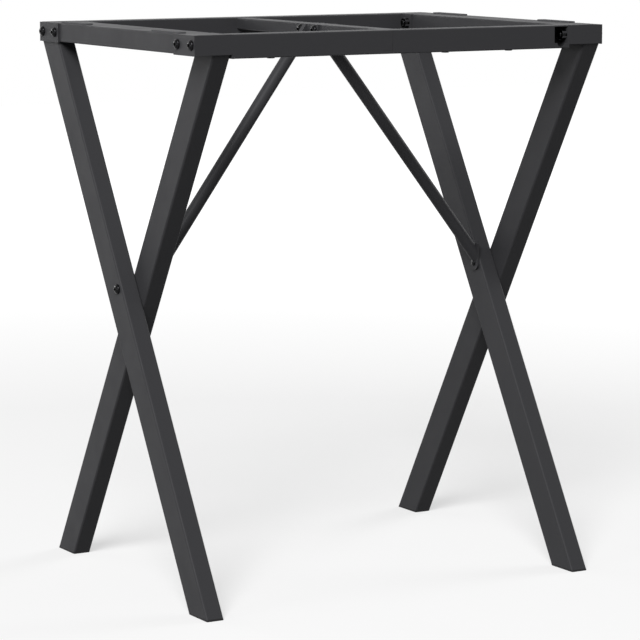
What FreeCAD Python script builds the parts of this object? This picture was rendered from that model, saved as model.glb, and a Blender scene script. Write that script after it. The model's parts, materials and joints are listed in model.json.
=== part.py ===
import FreeCAD, Part
import math
import os

# X-frame table base: two crossed-leg trestles, a bolted top frame, a cross-member and two braces.
# Frame: X along the table, Y across it, Z up, origin on the floor under the middle. All sizes in mm.

# Heights and plan
frameTop = 730.0
frameHalfDepth = 223.0
sideFaceX = 301.5

# Leg tubes: the face seen from the side, the depth along X, and where the centre lines run
legWidth = 42.8
legDepth = 24.5
legWall = 1.5
legRadius = 2.5
footCentreY = 218.1
topCentreY = 210.9

# Side rails lie flat on top of the legs
sideWidth = 50.0
sideHeight = 25.0
sideWall = 1.5
sideRadius = 1.5
sideEndWall = 2.0

# Long rails, square tube, front and back
longSize = 30.0
longWall = 1.5
longRadius = 1.5
windowLength = 21.0
windowHeight = 21.5
notchRadius = 6.4
notchLift = 1.2
seamX = -20.3
seamDrop = 26.0
seamLeg = 14.0
seamWidth = 0.5
seamDepth = 0.3

# Bolted plates at the corners and on the cross-member
plateLength = 56.0
plateHeight = 25.6
plateDrop = 0.2
plateThick = 2.5
boltSpacing = 36.5
boltInset = 9.0

# Cross-member, flat tube between the long rails
crossX = -6.0
crossWidth = 25.0
crossHeight = 15.0
crossWall = 1.5
crossRadius = 1.5
crossDrop = 0.6
bracketShift = -7.0

# Braces: round tube closed by a disc at the top, a tongue from the disc, a plate on the foot
braceDia = 17.0
braceWall = 1.5
braceFootRise = 14.0
braceLeftDrop = 9.4
braceRightDrop = 18.1
tongueThick = 4.0
tongueOffset = 3.0
tubeEnd = 2.0
tubeStop = 20.0
footPlateWidth = 20.0
footPlateThick = 3.0
footPlateRise = 28.0

# Crossing bolts sit a little above the point where the centre lines of the legs cross
crossBoltRise = 20.9

# Fasteners
boltDia = 8.0
holeClearance = 0.25
headDia = 13.0
headHeight = 4.2
socketFlats = 5.0
socketDepth = 2.4
headTop = 6.6
nutFlats = 13.0
nutHeight = 6.5
threadClearance = 0.1
boltReach = 9.0
endReach = 2.4

# Plastic and rubber parts
capThick = 2.6
capDepth = 14.0
capClearance = 0.25
padLength = 74.0
padWidth = 12.0
padThick = 2.0
padGap = -2.0
padFromEdge = 9.0
buttonDia = 10.0
buttonHeight = 1.6
buttonOffsets = (60.0, 317.0, 414.5)

# Derived values
railBottom = frameTop - sideHeight
slope = (footCentreY + topCentreY) / frameTop
tilt = math.atan(slope)
plateFaceX = sideFaceX + plateThick
railInnerX = sideFaceX - sideWidth
flangeFaceX = railInnerX - plateThick
legSplitX = sideFaceX - legDepth
legInnerX = legSplitX - legDepth
crossBoltZ = footCentreY / slope + crossBoltRise
braceFootZ = crossBoltZ + braceFootRise
cornerBoltYs = (frameHalfDepth - boltInset, frameHalfDepth - boltInset - boltSpacing)
cornerPairY = sum(cornerBoltYs) / 2
plateCentreY = frameHalfDepth - plateLength / 2
boltZ = frameTop - sideHeight / 2
plateCentreZ = frameTop - plateDrop - plateHeight / 2
crossTop = frameTop - crossDrop
crossCentreZ = crossTop - crossHeight / 2
bracketBoltYs = (bracketShift - boltSpacing / 2, bracketShift + boltSpacing / 2)
tongueHalf = min(abs(y) for y in bracketBoltYs) - headDia / 2 - holeClearance
longInnerY = frameHalfDepth - longSize
freeHole = boltDia + 2 * holeClearance
threadHole = boltDia + 2 * threadClearance
buttonXs = [offset - flangeFaceX for offset in buttonOffsets]


def vec(x, y, z):
    return FreeCAD.Vector(x, y, z)


def halfTurn(shape):
    """The same piece on the opposite side of the frame."""
    turned = shape.copy()
    turned.rotate(vec(0, 0, 0), vec(0, 0, 1), 180)
    return turned


def block(x0, x1, y0, y1, z0, z1):
    return Part.makeBox(x1 - x0, y1 - y0, z1 - z0, vec(x0, y0, z0))


def roundedBar(wide, high, radius, length):
    """Solid bar along +Z with a rounded rectangular section, centred on the axis."""
    bar = Part.makeBox(wide, high, length, vec(-wide / 2, -high / 2, 0))
    upright = [edge for edge in bar.Edges if abs(edge.tangentAt(edge.FirstParameter).z) > 0.99]
    return bar.makeFillet(radius, upright)


def tube(wide, high, wall, radius, length):
    """Rectangular tube along +Z, open at both ends, with rounded outer edges."""
    outer = roundedBar(wide, high, radius, length)
    inner = Part.makeBox(wide - 2 * wall, high - 2 * wall, length + 2, vec(wall - wide / 2, wall - high / 2, -1))
    return outer.cut(inner)


def alongX(shape, x, y, z):
    """Turn a shape built along +Z to run along +X, section width to Y and section height to Z."""
    shape.rotate(vec(0, 0, 0), vec(0, 0, 1), 90)
    shape.rotate(vec(0, 0, 0), vec(0, 1, 0), 90)
    shape.rotate(vec(0, 0, 0), vec(1, 0, 0), 90)
    shape.translate(vec(x, y, z))
    return shape


def alongY(shape, x, y, z):
    """Turn a shape built along +Z to run along +Y, section width staying on X."""
    shape.rotate(vec(0, 0, 0), vec(1, 0, 0), -90)
    shape.translate(vec(x, y, z))
    return shape


def boreX(diameter, x0, x1, y, z):
    return Part.makeCylinder(diameter / 2, x1 - x0, vec(x0, y, z), vec(1, 0, 0))


def slanted(bar, side, x):
    """Lean a bar built along +Z as a leg leans: side +1 has its top towards +Y."""
    bar.translate(vec(0, 0, -frameTop / 2))
    bar.rotate(vec(0, 0, 0), vec(1, 0, 0), -side * math.degrees(tilt))
    bar.translate(vec(x, -side * footCentreY, 0))
    return bar


def between(lowZ, highZ):
    """Level slab that trims a leaning bar to a height range."""
    reach = 2 * frameTop
    return block(-reach, reach, -reach, reach, lowZ, highZ)


def legTube(side, x):
    """Leaning tube, cut level at the foot cap and at the underside of the side rail."""
    leg = slanted(tube(legDepth, legWidth, legWall, legRadius, 2 * frameTop), side, x)
    leg = leg.common(between(capThick, railBottom))
    hole = boreX(freeHole, x - legDepth, x + legDepth, 0, crossBoltZ)
    return leg.cut(hole)


def footCap(side, x):
    """End cap: a flat sole the size of the cut tube and a plug that follows the slant inside it."""
    sole = slanted(roundedBar(legDepth, legWidth, legRadius, 2 * frameTop), side, x)
    inset = legWall + capClearance
    wide = legWidth - 2 * inset
    deep = legDepth - 2 * inset
    plug = slanted(Part.makeBox(deep, wide, 2 * frameTop, vec(-deep / 2, -wide / 2, 0)), side, x)
    return sole.common(between(0, capThick)).fuse(plug.common(between(capThick, capThick + capDepth)))


def boltedPlate(x0, centreY, height, centreZ, holeYs, holeZ, holeDia):
    """Flat plate in the YZ plane with its lower-X face at x0 and a row of bolt holes."""
    plate = block(x0, x0 + plateThick, centreY - plateLength / 2, centreY + plateLength / 2,
                  centreZ - height / 2, centreZ + height / 2)
    for holeY in holeYs:
        plate = plate.cut(boreX(holeDia, x0 - 1, x0 + plateThick + 1, holeY, holeZ))
    return plate


def boltSlot(x0, x1, centreY, z):
    """Slot behind a pair of plates that lets both of their bolts through."""
    half = boltSpacing / 2 + freeHole / 2
    high = freeHole / 2
    return block(x0, x1, centreY - half, centreY + half, z - high, z + high)


def sideRail():
    """Right-hand side rail with closed ends; the left-hand one is the same piece turned round."""
    centreX = sideFaceX - sideWidth / 2
    rail = alongY(roundedBar(sideWidth, sideHeight, sideRadius, 2 * frameHalfDepth),
                  centreX, -frameHalfDepth, boltZ)
    hollow = block(railInnerX + sideWall, sideFaceX - sideWall,
                   sideEndWall - frameHalfDepth, frameHalfDepth - sideEndWall,
                   frameTop - sideHeight + sideWall, frameTop - sideWall)
    rail = rail.cut(hollow)
    for sign in (-1, 1):
        rail = rail.cut(boltSlot(railInnerX - 1, sideFaceX + 1, sign * cornerPairY, boltZ))
    return rail


def cornerPlate(sign):
    ys = [sign * y for y in cornerBoltYs]
    return boltedPlate(sideFaceX, sign * plateCentreY, plateHeight, plateCentreZ, ys, boltZ, freeHole)


def railWindow():
    """Opening in the outer wall beside the flange, with a round notch in its lower edge for a key."""
    face = -frameHalfDepth
    depth = longWall + 0.5
    topZ = frameTop - longWall
    lowZ = topZ - windowHeight
    opening = block(flangeFaceX - windowLength, flangeFaceX, face - 1, face + depth, lowZ, topZ)
    centreX = flangeFaceX - windowLength / 2
    notch = Part.makeCylinder(notchRadius, depth + 1, vec(centreX, face - 1, lowZ + notchLift), vec(0, 1, 0))
    return opening.fuse(notch)


def longRail():
    """Front rail with a bolting flange and weld nuts on each end; the back rail is the same piece turned round."""
    length = 2 * flangeFaceX
    rail = tube(longSize, longSize, longWall, longRadius, length)
    centreY = -frameHalfDepth + longSize / 2
    rail = alongX(rail, -length / 2, centreY, frameTop - longSize / 2)
    rail = rail.cut(railWindow())
    seamBottom = frameTop - seamDrop
    face = -frameHalfDepth
    rail = rail.cut(block(seamX - seamWidth / 2, seamX + seamWidth / 2, face - 1, face + seamDepth,
                          seamBottom, frameTop - longRadius))
    rail = rail.cut(block(seamX - seamLeg, seamX, face - 1, face + seamDepth, seamBottom, seamBottom + seamWidth))
    ys = [-y for y in cornerBoltYs]
    for startX, side in ((flangeFaceX, 1), (-railInnerX, -1)):
        rail = rail.fuse(boltedPlate(startX, -plateCentreY, longSize, frameTop - longSize / 2, ys, boltZ, threadHole))
        for y in ys:
            rail = rail.fuse(weldNut(side, side * flangeFaceX, y, boltZ))
    return rail.removeSplitter()


def crossMember():
    length = 2 * longInnerY
    bar = tube(crossWidth, crossHeight, crossWall, crossRadius, length)
    bar = alongY(bar, crossX, -longInnerY, crossCentreZ)
    return bar.cut(boltSlot(crossX - crossWidth, crossX + crossWidth, bracketShift, crossCentreZ))


def bracketPlate(sign):
    startX = crossX + crossWidth / 2 if sign > 0 else crossX - crossWidth / 2 - plateThick
    centreZ = crossTop - plateHeight / 2
    holeDia = threadHole if sign > 0 else freeHole
    plate = boltedPlate(startX, bracketShift, plateHeight, centreZ, bracketBoltYs, crossCentreZ, holeDia)
    if sign > 0:
        for y in bracketBoltYs:
            plate = plate.fuse(weldNut(-1, startX + plateThick, y, crossCentreZ))
    return plate.removeSplitter()


def brace(side, topZ):
    """Round tube from the leg crossing up to the cross-member, side -1 left or +1 right."""
    footFace = side * (legInnerX - footPlateThick)
    topFace = crossX + side * (crossWidth / 2 + plateThick)
    foot = vec(footFace, 0, braceFootZ)
    top = vec(topFace, 0, topZ)
    axis = (top - foot).normalize()
    length = (top - foot).Length
    start = foot - axis * 40
    outer = Part.makeCylinder(braceDia / 2, length + 40 - tubeStop, start, axis)
    inner = Part.makeCylinder(braceDia / 2 - braceWall, length + 40 - tubeStop - tubeEnd, start, axis)
    legSide = block(min(footFace, side * plateFaceX), max(footFace, side * plateFaceX), -braceDia, braceDia,
                    0, frameTop)
    pipe = outer.cut(inner).cut(legSide)
    plate = footPlate(side)
    tongue = Part.makeBox(tongueThick, 2 * tongueHalf, tubeStop + tubeEnd + 30,
                          vec(-tongueThick / 2, -tongueHalf, 0))
    lean = math.degrees(math.atan2(axis.x, axis.z))
    tongue.rotate(vec(0, 0, 0), vec(0, 1, 0), lean)
    outward = vec(side * axis.z, 0, -side * axis.x)
    base = top - axis * (tubeStop + tubeEnd / 2) + outward * tongueOffset
    tongue.translate(base)
    beyond = block(min(topFace, topFace - side * plateFaceX), max(topFace, topFace - side * plateFaceX),
                   -braceDia, braceDia, 0, 2 * frameTop)
    above = block(-plateFaceX, plateFaceX, -braceDia, braceDia, crossTop, 2 * frameTop)
    tongue = tongue.cut(beyond).cut(above)
    return pipe.fuse(tongue).fuse(plate).removeSplitter()


def footPlate(side):
    """Plate on the brace's foot with a round lower end about the crossing bolt and a tapped hole in it."""
    face = side * legInnerX
    x0 = min(face, face - side * footPlateThick)
    x1 = x0 + footPlateThick
    half = footPlateWidth / 2
    plate = block(x0, x1, -half, half, crossBoltZ, crossBoltZ + footPlateRise)
    plate = plate.fuse(boreX(footPlateWidth, x0, x1, 0, crossBoltZ))
    return plate.cut(boreX(threadHole, x0 - 1, x1 + 1, 0, crossBoltZ))


def buttonBolt(shankLength):
    """Button-head socket bolt along -X: the head's seat is at x = 0 and the head points to +X."""
    dome = Part.makeCone(headDia / 2, headTop / 2, headHeight, vec(0, 0, 0), vec(1, 0, 0))
    shank = Part.makeCylinder(boltDia / 2, shankLength, vec(0, 0, 0), vec(-1, 0, 0))
    socket = hexagon(socketFlats, headHeight - socketDepth, headHeight + 1)
    return dome.fuse(shank).cut(socket)


def hexagon(flats, x0, x1):
    """Hexagonal bar along X between x0 and x1."""
    radius = flats / math.sqrt(3)
    corners = [vec(x0, radius * math.sin(i * math.pi / 3), radius * math.cos(i * math.pi / 3)) for i in range(7)]
    return Part.Face(Part.makePolygon(corners)).extrude(vec(x1 - x0, 0, 0))


def weldNut(side, seatX, y, z):
    """Hexagonal nut with its seat at seatX, standing off it against X for side +1 and along X for -1."""
    far = seatX - side * nutHeight
    nut = hexagon(nutFlats, min(seatX, far), max(seatX, far))
    nut.translate(vec(0, y, z))
    return nut.cut(boreX(threadHole, min(seatX, far) - 1, max(seatX, far) + 1, y, z))


def placed(shape, x, y, z, turned=False):
    """A copy at a place, first turned half round if asked."""
    copy = halfTurn(shape) if turned else shape.copy()
    copy.translate(vec(x, y, z))
    return copy


def undersideButtons():
    """Round buttons stuck to the underside of the front rail."""
    y = -frameHalfDepth + longSize / 2
    low = frameTop - longSize - buttonHeight
    return Part.makeCompound([Part.makeCylinder(buttonDia / 2, buttonHeight, vec(x, y, low)) for x in buttonXs])


def topPad(sign):
    """Soft strip on the right-hand side rail, under the table top."""
    middleX = sideFaceX - padFromEdge
    middleY = sign * (frameHalfDepth - plateLength - padGap - padLength / 2)
    return block(middleX - padWidth / 2, middleX + padWidth / 2, middleY - padLength / 2, middleY + padLength / 2,
                 frameTop, frameTop + padThick)


def cornerBolts():
    """The four bolts of the right-hand corners, through plate, side rail, flange and weld nut."""
    bolt = buttonBolt(plateFaceX - flangeFaceX + boltReach)
    ys = [sign * y for sign in (-1, 1) for y in cornerBoltYs]
    return Part.makeCompound([placed(bolt, plateFaceX, y, boltZ) for y in ys])


def crossingBolts():
    """One bolt through each pair of crossed legs into the foot plate of the brace."""
    bolt = buttonBolt(2 * legDepth + footPlateThick + endReach)
    right = placed(bolt, sideFaceX, 0, crossBoltZ)
    return Part.makeCompound([right, halfTurn(right)])


def bracketBolts():
    """The two bolts through the cross-member and its bracket plates, heads on the left."""
    bolt = buttonBolt(crossWidth + 2 * plateThick + boltReach)
    face = crossX - crossWidth / 2 - plateThick
    return Part.makeCompound([placed(bolt, face, y, crossCentreZ, turned=True) for y in bracketBoltYs])


def build():
    parts = {}
    outerX = sideFaceX - legDepth / 2
    innerX = legSplitX - legDepth / 2
    parts["leg_right_outer"] = legTube(-1, outerX)
    parts["leg_right_inner"] = legTube(1, innerX)
    parts["foot_cap_right_back"] = footCap(-1, outerX)
    parts["foot_cap_right_front"] = footCap(1, innerX)
    parts["side_rail_right"] = sideRail()
    parts["corner_plate_right_front"] = cornerPlate(-1)
    parts["corner_plate_right_back"] = cornerPlate(1)
    parts["top_pad_right_front"] = topPad(-1)
    parts["top_pad_right_back"] = topPad(1)
    parts["corner_bolts_right"] = cornerBolts()

    swap = {"right": "left", "front": "back", "back": "front"}
    for name in list(parts):
        words = [swap.get(word, word) for word in name.split("_")]
        parts["_".join(words)] = halfTurn(parts[name])

    parts["long_rail_front"] = longRail()
    parts["long_rail_back"] = halfTurn(parts["long_rail_front"])
    parts["underside_buttons_front"] = undersideButtons()
    parts["underside_buttons_back"] = halfTurn(parts["underside_buttons_front"])
    parts["cross_member"] = crossMember()
    parts["bracket_plate_left"] = bracketPlate(-1)
    parts["bracket_plate_right"] = bracketPlate(1)
    parts["brace_left"] = brace(-1, frameTop - braceLeftDrop)
    parts["brace_right"] = brace(1, frameTop - braceRightDrop)
    parts["crossing_bolts"] = crossingBolts()
    parts["bracket_bolts"] = bracketBolts()
    return parts


os.makedirs("parts", exist_ok=True)
for nodeName, solid in build().items():
    solid.exportStep("parts/" + nodeName + ".step")
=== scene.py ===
import json
import math

import bpy
import numpy as np
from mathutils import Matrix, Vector


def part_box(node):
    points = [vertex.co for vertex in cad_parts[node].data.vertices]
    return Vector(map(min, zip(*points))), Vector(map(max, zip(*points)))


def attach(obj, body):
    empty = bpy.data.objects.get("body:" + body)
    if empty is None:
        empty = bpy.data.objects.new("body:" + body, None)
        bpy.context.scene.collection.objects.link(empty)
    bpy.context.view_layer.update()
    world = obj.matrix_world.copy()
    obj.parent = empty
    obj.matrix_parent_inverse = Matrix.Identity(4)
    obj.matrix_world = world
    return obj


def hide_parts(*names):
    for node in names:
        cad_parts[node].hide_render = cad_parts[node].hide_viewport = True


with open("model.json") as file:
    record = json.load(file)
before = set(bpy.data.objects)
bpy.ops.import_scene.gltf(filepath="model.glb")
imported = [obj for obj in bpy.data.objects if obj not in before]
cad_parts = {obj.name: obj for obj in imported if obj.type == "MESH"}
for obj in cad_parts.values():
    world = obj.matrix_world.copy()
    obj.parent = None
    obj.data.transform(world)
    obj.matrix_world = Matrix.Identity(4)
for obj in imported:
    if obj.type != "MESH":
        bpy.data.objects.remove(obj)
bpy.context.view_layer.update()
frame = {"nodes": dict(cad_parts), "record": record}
print("frame loaded:", len(frame["nodes"]), "nodes")

mm = 0.001


def srgb(hexText, alpha=1.0):
    # each channel from sRGB to linear
    channels = [int(hexText[i:i + 2], 16) / 255 for i in (1, 3, 5)]
    return [c / 12.92 if c <= 0.04045 else ((c + 0.055) / 1.055) ** 2.4 for c in channels] + [alpha]


def addNode(material, kind, settings=None, links=None):
    # One node with its settings; links maps an input to (node, output). A Mix node keeps its two colours
    # on inputs 6 and 7, and gives the mixture on output 2.
    tree = material.node_tree
    node = tree.nodes.new(kind)
    for key, value in (settings or {}).items():
        if isinstance(key, str) and hasattr(node, key):
            setattr(node, key, value)
        else:
            node.inputs[key].default_value = value
    for key, (source, output) in (links or {}).items():
        tree.links.new(source.outputs[output], node.inputs[key])
    return node


def newMaterial(name):
    material = bpy.data.materials.new(name)
    material.use_nodes = True
    material.node_tree.nodes.clear()
    return material


def giveMaterial(piece, material):
    piece.data.materials.clear()
    piece.data.materials.append(material)


# Frame and legs: black powder coat with a fine texture, sprayed and baked on steel tube.
# It looks charcoal rather than black, matt, with soft light lines along the rounded edges.
# The real grain is near 0.1 mm, drawn at 0.9 mm so that it shows.
# The specular level is below a paint's usual 0.5, because it mirrors the white studio on every side.
tubeFinish = {"colour": "#333335", "fleck": "#3b3b3d", "roughness": 0.48, "roughnessSpread": 0.05,
              "specular": 0.08, "grainMm": 0.9, "mottleMm": 35.0, "bump": 0.05, "bumpMm": 0.2}

# Plates take the same coat, a little smoother because they are flat blanks.
plateFinish = dict(tubeFinish, grainMm=0.8, roughness=0.44)


def powderCoat(name, finish):
    material = newMaterial(name)
    place = addNode(material, "ShaderNodeTexCoord")
    grain = addNode(material, "ShaderNodeTexNoise",
                    {"Scale": 1 / (finish["grainMm"] * mm), "Detail": 3.0, "Roughness": 0.6},
                    {"Vector": (place, "Object")})
    mottle = addNode(material, "ShaderNodeTexNoise",
                     {"Scale": 1 / (finish["mottleMm"] * mm), "Detail": 2.0},
                     {"Vector": (place, "Object")})
    colour = addNode(material, "ShaderNodeMix",
                     {"data_type": "RGBA", 6: srgb(finish["colour"]), 7: srgb(finish["fleck"])},
                     {0: (grain, "Fac")})
    gloss = addNode(material, "ShaderNodeMapRange",
                    {"From Min": 0.3, "From Max": 0.7,
                     "To Min": finish["roughness"] - finish["roughnessSpread"],
                     "To Max": finish["roughness"] + finish["roughnessSpread"]},
                    {"Value": (mottle, "Fac")})
    bump = addNode(material, "ShaderNodeBump",
                   {"Strength": finish["bump"], "Distance": finish["bumpMm"] * mm},
                   {"Height": (grain, "Fac")})
    shader = addNode(material, "ShaderNodeBsdfPrincipled",
                     {"IOR": 1.5, "Specular IOR Level": finish["specular"]},
                     {"Base Color": (colour, 2), "Roughness": (gloss, "Result"),
                      "Normal": (bump, "Normal")})
    addNode(material, "ShaderNodeOutputMaterial", links={"Surface": (shader, "BSDF")})
    return material


# Bolts and weld nuts: black zinc on steel, smooth metal darker than the coat. Each head carries a glint
# at its upper left and is dark round the rest of its rim.
boltFinish = {"colour": "#161617", "worn": "#202021", "cloudMm": 3.0,
              "roughnessLow": 0.16, "roughnessHigh": 0.26}


def blackZinc(name, finish):
    material = newMaterial(name)
    place = addNode(material, "ShaderNodeTexCoord")
    cloud = addNode(material, "ShaderNodeTexNoise",
                    {"Scale": 1 / (finish["cloudMm"] * mm), "Detail": 4.0},
                    {"Vector": (place, "Object")})
    colour = addNode(material, "ShaderNodeMix",
                     {"data_type": "RGBA", 6: srgb(finish["colour"]), 7: srgb(finish["worn"])},
                     {0: (cloud, "Fac")})
    gloss = addNode(material, "ShaderNodeMapRange",
                    {"From Min": 0.3, "From Max": 0.7,
                     "To Min": finish["roughnessLow"], "To Max": finish["roughnessHigh"]},
                    {"Value": (cloud, "Fac")})
    shader = addNode(material, "ShaderNodeBsdfPrincipled", {"Metallic": 1.0},
                     {"Base Color": (colour, 2), "Roughness": (gloss, "Result")})
    addNode(material, "ShaderNodeOutputMaterial", links={"Surface": (shader, "BSDF")})
    return material


# Foot caps and underside buttons: black polythene, moulded, with a soft grain that takes the shine off.
# It is darker than the coat, so the sole of each leg ends in a thin dark line.
# The moulded grain is near 0.2 mm, drawn at 1.6 mm so that it shows.
capFinish = {"colour": "#121213", "scuff": "#1a1a1b", "roughness": 0.6, "specular": 0.2,
             "grainMm": 1.6, "bump": 0.1, "bumpMm": 0.2}

# Top pads: dark grey rubber strip, dead matt, near to the coat in tone, so it hardly shows on the rail.
# Its skin is as fine as the caps', and is drawn at 1.1 mm.
padFinish = {"colour": "#434345", "scuff": "#4b4b4d", "roughness": 0.8, "specular": 0.3,
             "grainMm": 1.1, "bump": 0.1, "bumpMm": 0.2}


def mouldedPlastic(name, finish):
    material = newMaterial(name)
    place = addNode(material, "ShaderNodeTexCoord")
    grain = addNode(material, "ShaderNodeTexNoise",
                    {"Scale": 1 / (finish["grainMm"] * mm), "Detail": 2.0},
                    {"Vector": (place, "Object")})
    colour = addNode(material, "ShaderNodeMix",
                     {"data_type": "RGBA", 6: srgb(finish["colour"]), 7: srgb(finish["scuff"])},
                     {0: (grain, "Fac")})
    bump = addNode(material, "ShaderNodeBump",
                   {"Strength": finish["bump"], "Distance": finish["bumpMm"] * mm},
                   {"Height": (grain, "Fac")})
    shader = addNode(material, "ShaderNodeBsdfPrincipled",
                     {"IOR": 1.5, "Specular IOR Level": finish["specular"],
                      "Roughness": finish["roughness"]},
                     {"Base Color": (colour, 2), "Normal": (bump, "Normal")})
    addNode(material, "ShaderNodeOutputMaterial", links={"Surface": (shader, "BSDF")})
    return material


slotMaterials = {
    "tube_coat": powderCoat("blackPowderCoatOnTube", tubeFinish),
    "plate_coat": powderCoat("blackPowderCoatOnPlate", plateFinish),
    "fastener_black": blackZinc("blackZincSteel", boltFinish),
    "cap_plastic": mouldedPlastic("blackPolythene", capFinish),
    "pad_rubber": mouldedPlastic("greyRubber", padFinish),
}
slotOf = {subpart["node"]: subpart["material_slot"] for subpart in frame["record"]["subparts"]}
for node, slotName in slotOf.items():
    giveMaterial(frame["nodes"][node], slotMaterials[slotName])
print("finishes made and given to the CAD nodes")


def ringQuads(ring, following, columns):
    # quads from each ring to the one that follows it, closed round the columns
    ring, column = np.meshgrid(ring, np.arange(columns), indexing="ij")
    following = np.broadcast_to(np.asarray(following)[:, None], ring.shape)
    beside = (column + 1) % columns
    corners = [ring * columns + column, ring * columns + beside,
               following * columns + beside, following * columns + column]
    return np.stack(corners, -1).reshape(-1, 4).tolist()


def ringSurface(rings):
    # rings x columns x 3 points, with a flat face on each end
    count, columns = rings.shape[:2]
    faces = ringQuads(np.arange(count - 1), np.arange(1, count), columns)
    faces.append(list(range(columns))[::-1])
    faces.append(list(range((count - 1) * columns, count * columns)))
    return rings.reshape(-1, 3), faces


def joined(shapes):
    # several shapes as one, each one's points numbered on from the last
    points, faces, start = [], [], 0
    for shapePoints, shapeFaces in shapes:
        points.append(shapePoints)
        faces += [[corner + start for corner in face] for face in shapeFaces]
        start += len(shapePoints)
    return np.concatenate(points), faces


sharpDegrees = 35


def addPiece(name, shape, node=None, slotName=None):
    # points in millimetres; a piece that stands in for a CAD node takes that node's slot
    points, faces = shape
    mesh = bpy.data.meshes.new(name)
    mesh.from_pydata((points * mm).tolist(), [], faces)
    mesh.polygons.foreach_set("use_smooth", [True] * len(mesh.polygons))
    mesh.set_sharp_from_angle(angle=math.radians(sharpDegrees))
    piece = bpy.data.objects.new(name, mesh)
    bpy.context.scene.collection.objects.link(piece)
    slotName = slotName or slotOf[node]
    giveMaterial(piece, slotMaterials[slotName])
    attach(piece, "root")
    if node:
        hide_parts(node)


def nodeBox(node):
    low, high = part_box(node)
    return np.array(low) / mm, np.array(high) / mm


bolt = {
    "headRadius": 6.5,
    "headHeight": 4.2,
    "rim": 0.6,
    "faceRadius": 2.6,
    "socketFlats": 4.0,
    "socketDepth": 2.2,
    "socketChamfer": 0.25,
    "underEdge": 0.15,
    "domeSteps": 14,
    "shankRadius": 4.0,
    "pitch": 1.25,
    "threadDepth": 0.35,
    "threadLength": 14.0,
    "stepsPerPitch": 6,
    "threadStop": 0.8,
    "tipShoulder": 0.5,
    "tipPoint": 1.1,
    "tipHeight": 0.4,
    "around": 48,
    "spacing": 36.5,
    "pastFootPlate": 5.4,
}


def hexagonRadius(angle, flats):
    # half the width over the flats, over the cosine of the angle from the nearest flat
    fromFlat = (angle + np.pi / 6) % (np.pi / 3) - np.pi / 6
    return flats / 2 / np.cos(fromFlat)


def turnedRings(x, radius, angle, side, seat):
    # One ring for each x, round an axis along X through the seat. From the seat, a point is x along the
    # axis, minus the radius times the sine of the angle in Y, and the radius times its cosine in Z. The
    # side, 1 or -1, turns X and Y round together, so that the surface isn't mirrored.
    along = np.broadcast_to(x[:, None], radius.shape)
    rings = np.stack([side * along, -side * radius * np.sin(angle), radius * np.cos(angle)], -1)
    return rings + np.asarray(seat)


def boltShape(b, seat, side, length):
    # Button head on the side of +X or -X, seat at the given point, shank the other way. Every ring is a
    # circle of the turned profile, apart from the socket's, which are hexagons. The dome is an ellipse:
    # radius = headRadius * sqrt(1 - (rise / span)^2). The thread takes from the shank's radius a wave
    # that moves one pitch along the axis in each turn.
    angle = np.arange(b["around"]) * 2 * np.pi / b["around"]
    hexRadius = hexagonRadius(angle, b["socketFlats"])
    circle = np.ones(b["around"])

    domeRise = b["headHeight"] - b["rim"]
    span = domeRise / math.sqrt(1 - (b["faceRadius"] / b["headRadius"]) ** 2)
    rise = np.linspace(domeRise, 0, b["domeSteps"])
    domeRadius = b["headRadius"] * np.sqrt(1 - (rise / span) ** 2)

    shankX = np.arange(0, length - b["threadStop"], b["pitch"] / b["stepsPerPitch"])
    wave = np.abs((shankX[:, None] / b["pitch"] - angle / (2 * np.pi)) % 1 * 2 - 1)
    threaded = shankX[:, None] > length - b["threadLength"]
    shankRadius = b["shankRadius"] - b["threadDepth"] * wave * threaded

    top = b["headHeight"]
    socketX = [top - b["socketDepth"], top - b["socketChamfer"], top]
    x = np.concatenate([socketX, b["rim"] + rise, [b["underEdge"], 0], -shankX,
                        [b["tipHeight"] - length, -length]])
    radius = np.concatenate([[hexRadius, hexRadius, hexRadius + b["socketChamfer"]],
                             domeRadius[:, None] * circle,
                             [b["headRadius"] * circle, (b["headRadius"] - b["underEdge"]) * circle],
                             shankRadius,
                             [(b["shankRadius"] - b["tipShoulder"]) * circle,
                              (b["shankRadius"] - b["tipPoint"]) * circle]])
    return ringSurface(turnedRings(x, radius, angle, side, seat)[:, ::-1])


def cornerPlaces(b):
    # the four places along Y of the bolts on one side, and their height
    low, high = nodeBox("corner_bolts_right")
    outerY = high[1] - b["headRadius"]
    innerY = outerY - b["spacing"]
    return [-outerY, -innerY, innerY, outerY], (low[2] + high[2]) / 2


def bracketPlaces(b):
    low, high = nodeBox("bracket_bolts")
    return [low[1] + b["headRadius"], high[1] - b["headRadius"]], (low[2] + high[2]) / 2


def cornerBolts(b, sideName, side):
    low, high = nodeBox("corner_bolts_" + sideName)
    plateLow, plateHigh = nodeBox("corner_plate_" + sideName + "_front")
    seatX = plateHigh[0] if side > 0 else plateLow[0]
    farX = low[0] if side > 0 else high[0]
    ys, z = cornerPlaces(b)
    return joined([boltShape(b, (seatX, y, z), side, abs(seatX - farX)) for y in ys])


def crossingBolts(b):
    low, high = nodeBox("crossing_bolts")
    faceX = nodeBox("leg_right_outer")[1][0]
    innerX = nodeBox("leg_right_inner")[0][0]
    length = faceX - innerX + b["pastFootPlate"]
    z = (low[2] + high[2]) / 2
    return joined([boltShape(b, (side * faceX, 0, z), side, length) for side in (-1, 1)])


def bracketBolts(b):
    endX = nodeBox("bracket_bolts")[1][0]
    seatX = nodeBox("bracket_plate_left")[0][0]
    ys, z = bracketPlaces(b)
    return joined([boltShape(b, (seatX, y, z), -1, endX - seatX) for y in ys])


# the sleeve is a hair larger than the CAD nut, so that the dark zinc shows in place of the coat. The dark
# zinc is partly the nuts' own black finish and partly painted shade: it darkens the nuts inside the
# shaded windows at the rail ends
nut = {
    "flats": 13.1,
    "height": 6.55,
    "bore": 4.15,
    "seatGap": 0.05,
    "chamfer": 0.8,
    "cornerRise": 0.15,
    "plateThick": 2.5,
    "around": 48,
}


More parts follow.
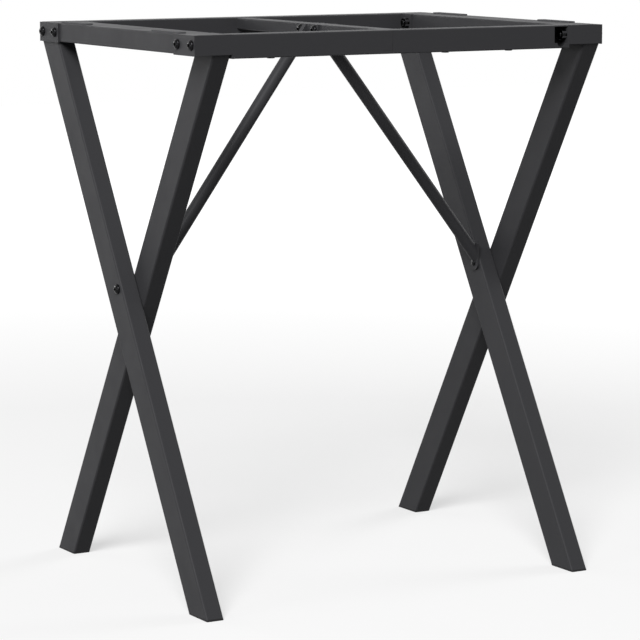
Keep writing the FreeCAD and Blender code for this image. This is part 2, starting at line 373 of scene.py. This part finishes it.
def nutShape(n, seat, side):
    # Hexagon sleeve round a weld nut, seat at the given point, standing off towards +X or -X. The rings
    # go down the bore and up the outside, back to the first. The last is held to the chamfer's circle.
    angle = np.arange(n["around"]) * 2 * np.pi / n["around"]
    hexRadius = hexagonRadius(angle, n["flats"])
    rounded = np.minimum(hexRadius, n["flats"] / 2 + n["cornerRise"])
    bore = np.full(n["around"], n["bore"])
    x = np.array([n["height"], n["seatGap"], n["seatGap"], n["height"] - n["chamfer"], n["height"]])
    radius = np.stack([bore, bore, hexRadius, hexRadius, rounded])
    points = turnedRings(x, radius, angle, side, seat).reshape(-1, 3)
    ring = np.arange(len(x))
    return points, ringQuads(ring, (ring + 1) % len(x), n["around"])


def weldNuts(n, b):
    # four behind the flanges at each end of the long rails, and two on the right bracket plate
    flangeX = nodeBox("long_rail_front")[1][0] - n["plateThick"]
    ys, z = cornerPlaces(b)
    shapes = [nutShape(n, (side * flangeX, y, z), -side) for side in (-1, 1) for y in ys]
    bracketX = nodeBox("cross_member")[1][0] + n["plateThick"]
    ys, z = bracketPlaces(b)
    return joined(shapes + [nutShape(n, (bracketX, y, z), 1) for y in ys])


addPiece("cornerBoltsLeft", cornerBolts(bolt, "left", -1), "corner_bolts_left")
addPiece("cornerBoltsRight", cornerBolts(bolt, "right", 1), "corner_bolts_right")
addPiece("crossingBolts", crossingBolts(bolt), "crossing_bolts")
addPiece("bracketBolts", bracketBolts(bolt), "bracket_bolts")
# the nuts' dark zinc is partly painted shade for the shaded windows at the rail ends
addPiece("weldNuts", weldNuts(nut, bolt), slotName="fastener_black")
print("bolts turned, with sockets and threads, and weld nuts set")


cornerSteps = 7


def roundedOutline(halfX, halfY, radius, steps):
    # rectangle with four quarter circles, each its corner's centre plus the radius at the running angle
    angle = np.linspace(0, np.pi / 2, steps)
    cornerX = np.repeat([halfX - radius, radius - halfX, radius - halfX, halfX - radius], steps)
    cornerY = np.repeat([halfY - radius, halfY - radius, radius - halfY, radius - halfY], steps)
    turn = np.concatenate([angle + quarter * np.pi / 2 for quarter in range(4)])
    return np.stack([cornerX + radius * np.cos(turn), cornerY + radius * np.sin(turn)], -1)


def stackedRings(levels, centre):
    # levels: (z, halfX, halfY, radius); centre maps z to the plan position of that ring's middle
    rings = []
    for z, halfX, halfY, radius in levels:
        plan = roundedOutline(halfX, halfY, radius, cornerSteps) + centre(z)
        rings.append(np.column_stack([plan, np.full(len(plan), z)]))
    return ringSurface(np.stack(rings))


cap = {
    "edge": 0.7,
    "wall": 1.5,
    "clearance": 0.25,
    "radius": 2.5,
    "tip": 1.0,
    "plugRadius": 0.6,
    "tipRadius": 0.4,
    "edgeSteps": 5,
    "cutTolerance": 0.01,
}


def footCap(c, capNode, legNode):
    # Rounded rectangles stacked up the leg's slanted centre line: sole, step in to the plug, plug, tip.
    # The line is y = yLow + (z - zLow) * slope, through the middles of the leg's lowest and highest cuts.
    mesh = frame["nodes"][legNode].data
    points = np.empty(len(mesh.vertices) * 3)
    mesh.vertices.foreach_get("co", points)
    points = points.reshape(-1, 3) / mm
    zLow, zHigh = points[:, 2].min(), points[:, 2].max()
    lowY = points[points[:, 2] < zLow + c["cutTolerance"], 1]
    highY = points[points[:, 2] > zHigh - c["cutTolerance"], 1]
    yLow = (lowY.min() + lowY.max()) / 2
    slope = ((highY.min() + highY.max()) / 2 - yLow) / (zHigh - zLow)
    capLow, capHigh = nodeBox(capNode)
    middleX = (capLow[0] + capHigh[0]) / 2
    halfX = (capHigh[0] - capLow[0]) / 2
    halfY = (lowY.max() - lowY.min()) / 2
    inset = c["wall"] + c["clearance"]
    levels = []
    for turn in np.linspace(0, np.pi / 2, c["edgeSteps"]):
        shrink = c["edge"] * (1 - math.sin(turn))
        z = c["edge"] * (1 - math.cos(turn))
        levels.append((z, halfX - shrink, halfY - shrink, c["radius"] - shrink))
    levels.append((zLow, halfX, halfY, c["radius"]))
    levels.append((zLow, halfX - inset, halfY - inset, c["plugRadius"]))
    levels.append((capHigh[2] - c["tip"], halfX - inset, halfY - inset, c["plugRadius"]))
    levels.append((capHigh[2], halfX - inset - c["tip"], halfY - inset - c["tip"], c["tipRadius"]))
    return stackedRings(levels, lambda z: np.array([middleX, yLow + (z - zLow) * slope]))


# the outer leg of the left side and the inner leg of the right side stand on the front feet
feet = {"left_front": "left_outer", "left_back": "left_inner",
        "right_front": "right_inner", "right_back": "right_outer"}
for foot, leg in feet.items():
    capNode = "foot_cap_" + foot
    addPiece("footCap" + foot.title().replace("_", ""), footCap(cap, capNode, "leg_" + leg), capNode)
print("foot caps moulded")


pad = {"edge": 0.6, "corner": 2.0, "edgeSteps": 5}


def topPad(p, node):
    # rounded rectangles stacked: straight sides, then the top edge as a quarter circle
    low, high = nodeBox(node)
    middle = (low + high) / 2
    half = (high - low) / 2
    levels = [(low[2], half[0], half[1], p["corner"])]
    for turn in np.linspace(0, np.pi / 2, p["edgeSteps"]):
        shrink = p["edge"] * (1 - math.cos(turn))
        z = high[2] - p["edge"] + p["edge"] * math.sin(turn)
        levels.append((z, half[0] - shrink, half[1] - shrink, p["corner"] - shrink))
    return stackedRings(levels, lambda z: middle[:2])


for corner in ("left_front", "left_back", "right_front", "right_back"):
    padNode = "top_pad_" + corner
    addPiece("topPad" + corner.title().replace("_", ""), topPad(pad, padNode), padNode)
print("top pads laid")


button = {"radius": 5.0, "edge": 0.9, "middleOffset": 257.0, "edgeSteps": 6}


def undersideButtons(b, node, front):
    # discs with a rounded lower edge, the flat side stuck to the rail; the middle one stands a fixed
    # length from the left one on the front rail, and from the right one on the back rail
    low, high = nodeBox(node)
    middleY = (low[1] + high[1]) / 2
    ends = [low[0] + b["radius"], high[0] - b["radius"]]
    middleX = ends[0] + b["middleOffset"] if front else ends[1] - b["middleOffset"]
    discs = []
    for x in (ends[0], middleX, ends[1]):
        levels = []
        for turn in np.linspace(0, np.pi / 2, b["edgeSteps"]):
            radius = b["radius"] - b["edge"] * (1 - math.sin(turn))
            levels.append((low[2] + b["edge"] * (1 - math.cos(turn)), radius, radius, radius))
        levels.append((high[2], b["radius"], b["radius"], b["radius"]))
        discs.append(stackedRings(levels, lambda z, x=x: np.array([x, middleY])))
    return joined(discs)


for rail in ("front", "back"):
    buttonNode = "underside_buttons_" + rail
    shape = undersideButtons(button, buttonNode, rail == "front")
    addPiece("undersideButtons" + rail.title(), shape, buttonNode)
print("underside buttons stuck on")


# The floor and the world are white for the camera and for reflections. Light that they bounce onto the
# object is kept low, so that its undersides stay dark.
stage = {"floor": "#a8a8a8", "bounce": "#464646", "roughness": 0.9, "liftNear": 0.57, "liftFar": 0.96,
         "nearMetres": 1.3, "farMetres": 4.5, "halfSize": 8.0, "worldLight": 0.1}


def seenDirectly(material):
    # 1 for the camera, in reflections and through glass, 0 for light that bounces on to another surface
    rays = addNode(material, "ShaderNodeLightPath")
    seen = addNode(material, "ShaderNodeMath", {"operation": "MAXIMUM"},
                   {0: (rays, "Is Camera Ray"), 1: (rays, "Is Glossy Ray")})
    return addNode(material, "ShaderNodeMath", {"operation": "MAXIMUM"},
                   {0: (seen, "Value"), 1: (rays, "Is Transmission Ray")})


def paleFloor(s):
    half = s["halfSize"]
    mesh = bpy.data.meshes.new("floor")
    corners = [(-half, -half, 0), (half, -half, 0), (half, half, 0), (-half, half, 0)]
    mesh.from_pydata(corners, [], [(0, 1, 2, 3)])
    floor = bpy.data.objects.new("floor", mesh)
    bpy.context.scene.collection.objects.link(floor)
    material = newMaterial("studioFloor")
    rays = addNode(material, "ShaderNodeLightPath")
    colour = addNode(material, "ShaderNodeMix",
                     {"data_type": "RGBA", 6: srgb(s["floor"]), 7: srgb(s["bounce"])},
                     {0: (rays, "Is Diffuse Ray")})
    place = addNode(material, "ShaderNodeTexCoord")
    distance = addNode(material, "ShaderNodeVectorMath", {"operation": "LENGTH"}, {0: (place, "Object")})
    rise = addNode(material, "ShaderNodeMapRange",
                   {"From Min": s["nearMetres"], "From Max": s["farMetres"],
                    "To Min": s["liftNear"], "To Max": s["liftFar"]},
                   {"Value": (distance, "Value")})
    lift = addNode(material, "ShaderNodeMath", {"operation": "MULTIPLY"},
                   {0: (seenDirectly(material), "Value"), 1: (rise, "Result")})
    shader = addNode(material, "ShaderNodeBsdfPrincipled",
                     {"Roughness": s["roughness"], "Specular IOR Level": 0.0,
                      "Emission Color": (1, 1, 1, 1)},
                     {"Base Color": (colour, 2), "Emission Strength": (lift, "Value")})
    addNode(material, "ShaderNodeOutputMaterial", links={"Surface": (shader, "BSDF")})
    giveMaterial(floor, material)


def whiteWorld(s):
    world = bpy.data.worlds.new("studio")
    bpy.context.scene.world = world
    world.use_nodes = True
    world.node_tree.nodes.clear()
    level = addNode(world, "ShaderNodeMapRange", {"To Min": s["worldLight"], "To Max": 1.0},
                    {"Value": (seenDirectly(world), "Value")})
    light = addNode(world, "ShaderNodeBackground", {"Color": (1, 1, 1, 1)},
                    {"Strength": (level, "Result")})
    addNode(world, "ShaderNodeOutputWorld", links={"Surface": (light, "Background")})


# Place and size in metres; aim is the height over the origin that the lamp faces. The key comes from the
# upper front left, and the low one fills under the side rails. The two at the back left light the outer
# faces and put the glint on the bolts, and the last keeps the right side from going dark.
softboxes = {
    "keyLeft": {"place": (-6.2, -6.6, 7.6), "size": (5.0, 5.0), "aim": 0.4, "watts": 1500},
    "lowLeft": {"place": (-7.5, -1.2, 0.9), "size": (3.0, 1.6), "aim": 0.4, "watts": 100},
    "backLeft": {"place": (-5.6, 7.2, 2.2), "size": (3.4, 2.6), "aim": 0.4, "watts": 60},
    "glintBack": {"place": (-2.9, 8.2, 1.9), "size": (1.0, 1.0), "aim": 0.5, "watts": 45},
    "rightFill": {"place": (6.0, 0.8, 3.2), "size": (3.0, 3.0), "aim": 0.4, "watts": 130},
}


def softbox(name, box):
    data = bpy.data.lights.new(name, "AREA")
    data.shape = "RECTANGLE"
    data.size, data.size_y = box["size"]
    data.energy = box["watts"]
    lamp = bpy.data.objects.new(name, data)
    bpy.context.scene.collection.objects.link(lamp)
    lamp.location = box["place"]
    lamp.rotation_mode = "QUATERNION"
    towards = Vector((0, 0, box["aim"])) - Vector(box["place"])
    lamp.rotation_quaternion = towards.to_track_quat("-Z", "Y")


paleFloor(stage)
whiteWorld(stage)
for name, box in softboxes.items():
    softbox(name, box)
print("floor, world and softboxes set")

# the photograph's viewing angle, with the lens on the object instead of shifted
view = {"focalPx": 3014.0, "imagePx": 640, "sensorMm": 36, "azimuth": 30.142, "tilt": 8.208,
        "place": (-2.0233, -3.4889, 0.9115)}
cameraData = bpy.data.cameras.new("camera")
cameraData.sensor_width = view["sensorMm"]
cameraData.lens = view["sensorMm"] * view["focalPx"] / view["imagePx"]
camera = bpy.data.objects.new("camera", cameraData)
bpy.context.scene.collection.objects.link(camera)
camera.location = view["place"]
camera.rotation_euler = (math.radians(90 - view["tilt"]), 0, math.radians(-view["azimuth"]))
bpy.context.scene.camera = camera
bpy.context.scene.view_settings.view_transform = "Standard"
print("camera set")
